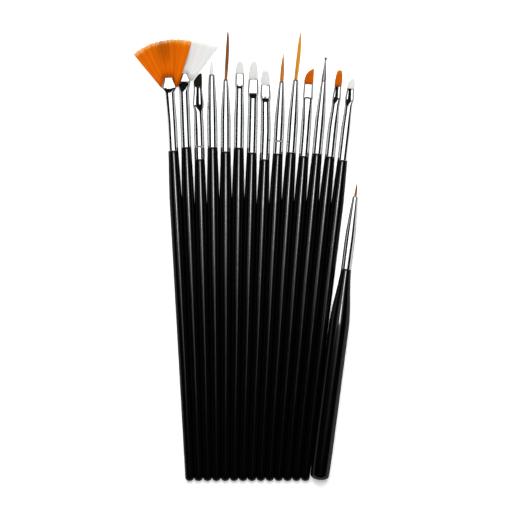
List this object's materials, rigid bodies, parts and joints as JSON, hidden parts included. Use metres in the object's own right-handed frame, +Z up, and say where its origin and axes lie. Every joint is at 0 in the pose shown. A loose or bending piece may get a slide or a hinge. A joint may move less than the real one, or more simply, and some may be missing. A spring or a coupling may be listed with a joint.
{
  "type": "nail art brush set",
  "caption": "Nail art brushes with black lacquered handles and bright ferrules, laid side by side: fan, oval, angled, dagger, liner and striper tips, a dotting tool and a stout detail brush.",
  "frame": {"origin": "under the middle of the laid-out set, on the surface that it lies on", "axes": "+Y from the handles' tails to the tufts, +X to the right of the fan seen from above, +Z up out of the surface"},
  "size_m": [0.0946, 0.1892, 0.0082],
  "materials": {
    "black_lacquer": "turned wood under high-gloss black lacquer",
    "polished_ferrule": "polished, nickel bright",
    "epoxy": "hair butts set in clear amber epoxy",
    "steel": "polished steel stylus",
    "nylon_amber": "amber synthetic hair, satin",
    "nylon_gold": "golden synthetic hair, satin",
    "nylon_white": "white synthetic hair, satin",
    "sable_brown": "brown hair, satin",
    "sable_dark": "near-black hair, satin"
  },
  "bodies": {
    "fan_amber_brush": {"fan_amber_handle": "black_lacquer", "fan_amber_ferrule": "polished_ferrule", "fan_amber_knot": "epoxy"},
    "fan_amber_hair": {"fan_amber_tuft": "nylon_amber"},
    "fan_white_brush": {"fan_white_handle": "black_lacquer", "fan_white_ferrule": "polished_ferrule", "fan_white_knot": "epoxy", "fan_white_tuft": "nylon_white"},
    "angled_dark_brush": {"angled_dark_handle": "black_lacquer", "angled_dark_ferrule": "polished_ferrule", "angled_dark_knot": "epoxy"},
    "angled_dark_hair": {"angled_dark_tuft": "sable_dark"},
    "detail_white_brush": {"detail_white_handle": "black_lacquer", "detail_white_ferrule": "polished_ferrule", "detail_white_knot": "epoxy"},
    "detail_white_hair": {"detail_white_tuft": "nylon_white"},
    "striper_brown_brush": {"striper_brown_handle": "black_lacquer", "striper_brown_ferrule": "polished_ferrule", "striper_brown_knot": "epoxy"},
    "striper_brown_hair": {"striper_brown_tuft": "sable_brown"},
    "oval_white_small_brush": {"oval_white_small_handle": "black_lacquer", "oval_white_small_ferrule": "polished_ferrule", "oval_white_small_knot": "epoxy"},
    "oval_white_small_hair": {"oval_white_small_tuft": "nylon_white"},
    "oval_white_large_brush": {"oval_white_large_handle": "black_lacquer", "oval_white_large_ferrule": "polished_ferrule", "oval_white_large_knot": "epoxy"},
    "oval_white_large_hair": {"oval_white_large_tuft": "nylon_white"},
    "oval_white_medium_brush": {"oval_white_medium_handle": "black_lacquer", "oval_white_medium_ferrule": "polished_ferrule", "oval_white_medium_knot": "epoxy"},
    "oval_white_medium_hair": {"oval_white_medium_tuft": "nylon_white"},
    "liner_amber_brush": {"liner_amber_handle": "black_lacquer", "liner_amber_ferrule": "polished_ferrule", "liner_amber_knot": "epoxy"},
    "liner_amber_hair": {"liner_amber_tuft": "nylon_amber"},
    "striper_amber_brush": {"striper_amber_handle": "black_lacquer", "striper_amber_ferrule": "polished_ferrule", "striper_amber_knot": "epoxy"},
    "striper_amber_hair": {"striper_amber_tuft": "nylon_gold"},
    "dagger_amber_brush": {"dagger_amber_handle": "black_lacquer", "dagger_amber_ferrule": "polished_ferrule", "dagger_amber_knot": "epoxy"},
    "dagger_amber_hair": {"dagger_amber_tuft": "nylon_amber"},
    "dotting_tool_brush": {"dotting_tool_handle": "black_lacquer", "dotting_tool_ferrule": "polished_ferrule", "dotting_tool_stylus": "steel", "dotting_tool_socket": "epoxy"},
    "oval_amber_brush": {"oval_amber_handle": "black_lacquer", "oval_amber_ferrule": "polished_ferrule", "oval_amber_knot": "epoxy"},
    "oval_amber_hair": {"oval_amber_tuft": "nylon_amber"},
    "angled_white_brush": {"angled_white_handle": "black_lacquer", "angled_white_ferrule": "polished_ferrule", "angled_white_knot": "epoxy"},
    "angled_white_hair": {"angled_white_tuft": "nylon_white"},
    "detail_brown_brush": {"detail_brown_handle": "black_lacquer", "detail_brown_ferrule": "polished_ferrule", "detail_brown_knot": "epoxy"},
    "detail_brown_hair": {"detail_brown_tuft": "sable_brown"}
  },
  "joints": [
    {"name": "fan_amber_lift", "type": "slide", "parent": "fan_white_brush", "child": "fan_amber_brush", "axis": [0, 0, 1], "range_m": [0, 0.05]},
    {"name": "angled_dark_lift", "type": "slide", "parent": "fan_white_brush", "child": "angled_dark_brush", "axis": [0, 0, 1], "range_m": [0, 0.05]},
    {"name": "detail_white_lift", "type": "slide", "parent": "fan_white_brush", "child": "detail_white_brush", "axis": [0, 0, 1], "range_m": [0, 0.05]},
    {"name": "striper_brown_lift", "type": "slide", "parent": "fan_white_brush", "child": "striper_brown_brush", "axis": [0, 0, 1], "range_m": [0, 0.05]},
    {"name": "oval_white_small_lift", "type": "slide", "parent": "fan_white_brush", "child": "oval_white_small_brush", "axis": [0, 0, 1], "range_m": [0, 0.05]},
    {"name": "oval_white_large_lift", "type": "slide", "parent": "fan_white_brush", "child": "oval_white_large_brush", "axis": [0, 0, 1], "range_m": [0, 0.05]},
    {"name": "oval_white_medium_lift", "type": "slide", "parent": "fan_white_brush", "child": "oval_white_medium_brush", "axis": [0, 0, 1], "range_m": [0, 0.05]},
    {"name": "liner_amber_lift", "type": "slide", "parent": "fan_white_brush", "child": "liner_amber_brush", "axis": [0, 0, 1], "range_m": [0, 0.05]},
    {"name": "striper_amber_lift", "type": "slide", "parent": "fan_white_brush", "child": "striper_amber_brush", "axis": [0, 0, 1], "range_m": [0, 0.05]},
    {"name": "dagger_amber_lift", "type": "slide", "parent": "fan_white_brush", "child": "dagger_amber_brush", "axis": [0, 0, 1], "range_m": [0, 0.05]},
    {"name": "dotting_tool_lift", "type": "slide", "parent": "fan_white_brush", "child": "dotting_tool_brush", "axis": [0, 0, 1], "range_m": [0, 0.05]},
    {"name": "oval_amber_lift", "type": "slide", "parent": "fan_white_brush", "child": "oval_amber_brush", "axis": [0, 0, 1], "range_m": [0, 0.05]},
    {"name": "angled_white_lift", "type": "slide", "parent": "fan_white_brush", "child": "angled_white_brush", "axis": [0, 0, 1], "range_m": [0, 0.05]},
    {"name": "detail_brown_lift", "type": "slide", "parent": "fan_white_brush", "child": "detail_brown_brush", "axis": [0, 0, 1], "range_m": [0, 0.05]},
    {"name": "fan_amber_flex", "type": "hinge", "parent": "fan_amber_brush", "child": "fan_amber_hair", "pos_m": [-0.03136, 0.07014, 0.00279], "axis": [0.9732, 0.0472, 0.2249], "range_deg": [0, 35], "stiffness_Nm_per_rad": 0.0023},
    {"name": "angled_dark_flex", "type": "hinge", "parent": "angled_dark_brush", "child": "angled_dark_hair", "pos_m": [-0.01974, 0.0712, 0.00279], "axis": [0.9269, 0.0249, -0.3746], "range_deg": [-17, 25], "stiffness_Nm_per_rad": 0.0000051},
    {"name": "detail_white_flex", "type": "hinge", "parent": "detail_white_brush", "child": "detail_white_hair", "pos_m": [-0.01397, 0.07634, 0.00282], "axis": [0.9999, 0.0115, 0], "range_deg": [-18, 25], "stiffness_Nm_per_rad": 0.000004},
    {"name": "striper_brown_flex", "type": "hinge", "parent": "striper_brown_brush", "child": "striper_brown_hair", "pos_m": [-0.00808, 0.07425, 0.00281], "axis": [1, -0.0014, 0], "range_deg": [-4, 35], "stiffness_Nm_per_rad": 0.00025},
    {"name": "oval_white_small_flex", "type": "hinge", "parent": "oval_white_small_brush", "child": "oval_white_small_hair", "pos_m": [-0.00217, 0.07673, 0.00283], "axis": [0.9999, -0.0142, 0], "range_deg": [-22, 25], "stiffness_Nm_per_rad": 0.000005},
    {"name": "oval_white_large_flex", "type": "hinge", "parent": "oval_white_large_brush", "child": "oval_white_large_hair", "pos_m": [0.00367, 0.07429, 0.00281], "axis": [0.9996, -0.027, 0], "range_deg": [-14, 25], "stiffness_Nm_per_rad": 0.00002},
    {"name": "oval_white_medium_flex", "type": "hinge", "parent": "oval_white_medium_brush", "child": "oval_white_medium_hair", "pos_m": [0.00944, 0.07182, 0.0028], "axis": [0.9992, -0.0398, 0], "range_deg": [-17, 25], "stiffness_Nm_per_rad": 0.000012},
    {"name": "liner_amber_flex", "type": "hinge", "parent": "liner_amber_brush", "child": "liner_amber_hair", "pos_m": [0.01537, 0.07342, 0.00281], "axis": [0.9986, -0.0526, 0], "range_deg": [-7, 25], "stiffness_Nm_per_rad": 0.000056},
    {"name": "striper_amber_flex", "type": "hinge", "parent": "striper_amber_brush", "child": "striper_amber_hair", "pos_m": [0.02128, 0.07409, 0.00281], "axis": [0.9979, -0.0654, 0], "range_deg": [-4, 35], "stiffness_Nm_per_rad": 0.00018},
    {"name": "dagger_amber_flex", "type": "hinge", "parent": "dagger_amber_brush", "child": "dagger_amber_hair", "pos_m": [0.02702, 0.07234, 0.0028], "axis": [0.9969, -0.0782, 0], "range_deg": [-17, 25], "stiffness_Nm_per_rad": 0.000011},
    {"name": "oval_amber_flex", "type": "hinge", "parent": "oval_amber_brush", "child": "oval_amber_hair", "pos_m": [0.03866, 0.07145, 0.0028], "axis": [0.9219, -0.0985, 0.3746], "range_deg": [-15, 25], "stiffness_Nm_per_rad": 0.00001},
    {"name": "angled_white_flex", "type": "hinge", "parent": "angled_white_brush", "child": "angled_white_hair", "pos_m": [0.0444, 0.07042, 0.00279], "axis": [0.9206, -0.1103, 0.3746], "range_deg": [-25, 25], "stiffness_Nm_per_rad": 0.0000019},
    {"name": "detail_brown_flex", "type": "hinge", "parent": "detail_brown_brush", "child": "detail_brown_hair", "pos_m": [0.04627, 0.02528, 0.00423], "axis": [0.9919, -0.1271, 0], "range_deg": [-25, 25], "stiffness_Nm_per_rad": 0.000003}
  ]
}
